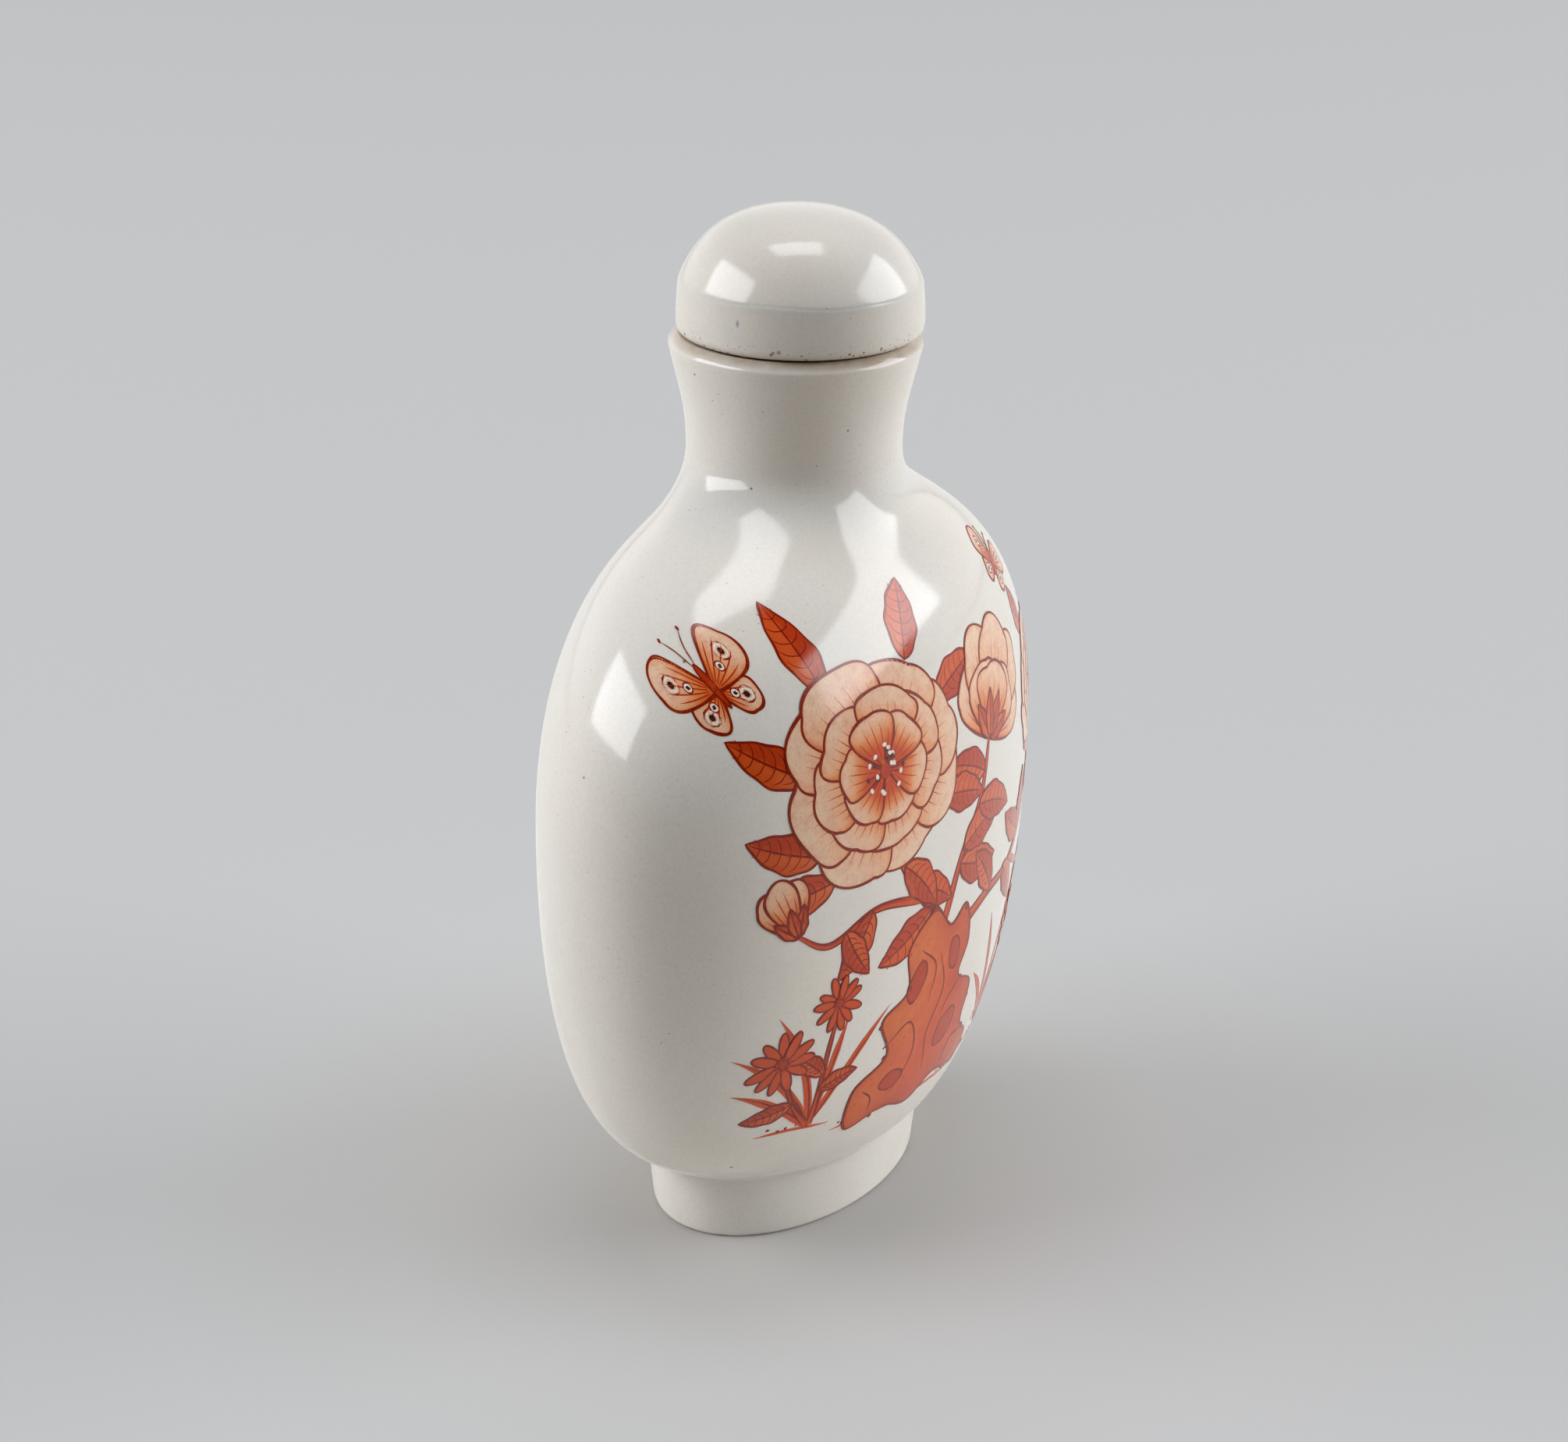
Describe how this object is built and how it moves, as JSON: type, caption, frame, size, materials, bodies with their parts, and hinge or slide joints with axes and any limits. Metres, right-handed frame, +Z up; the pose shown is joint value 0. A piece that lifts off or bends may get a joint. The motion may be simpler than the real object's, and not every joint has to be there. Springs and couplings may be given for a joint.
{
  "type": "snuff bottle",
  "caption": "Flattened ovoid porcelain snuff bottle on an oval foot, with a waisted neck and a domed stopper that lifts out with its cork and spoon.",
  "frame": {"origin": "middle of the oval that the foot ring stands on, at the height of its bearing face", "axes": "+Z up through the neck and stopper, X across the broad faces, Y through the thickness with the painted face towards -Y"},
  "size_m": [0.051, 0.0286, 0.07],
  "materials": {
    "body_glaze": "gloss",
    "cap_glaze": "gloss",
    "cork": "matte",
    "bone": "satin"
  },
  "bodies": {
    "bottle": {"bottle_body": "body_glaze"},
    "stopper": {"stopper_cap": "cap_glaze", "stopper_cork": "cork", "snuff_spoon": "bone"}
  },
  "joints": [
    {"name": "stopper_lift", "type": "slide", "parent": "bottle", "child": "stopper", "axis": [0, 0, 1], "range_m": [0, 0.052]}
  ]
}
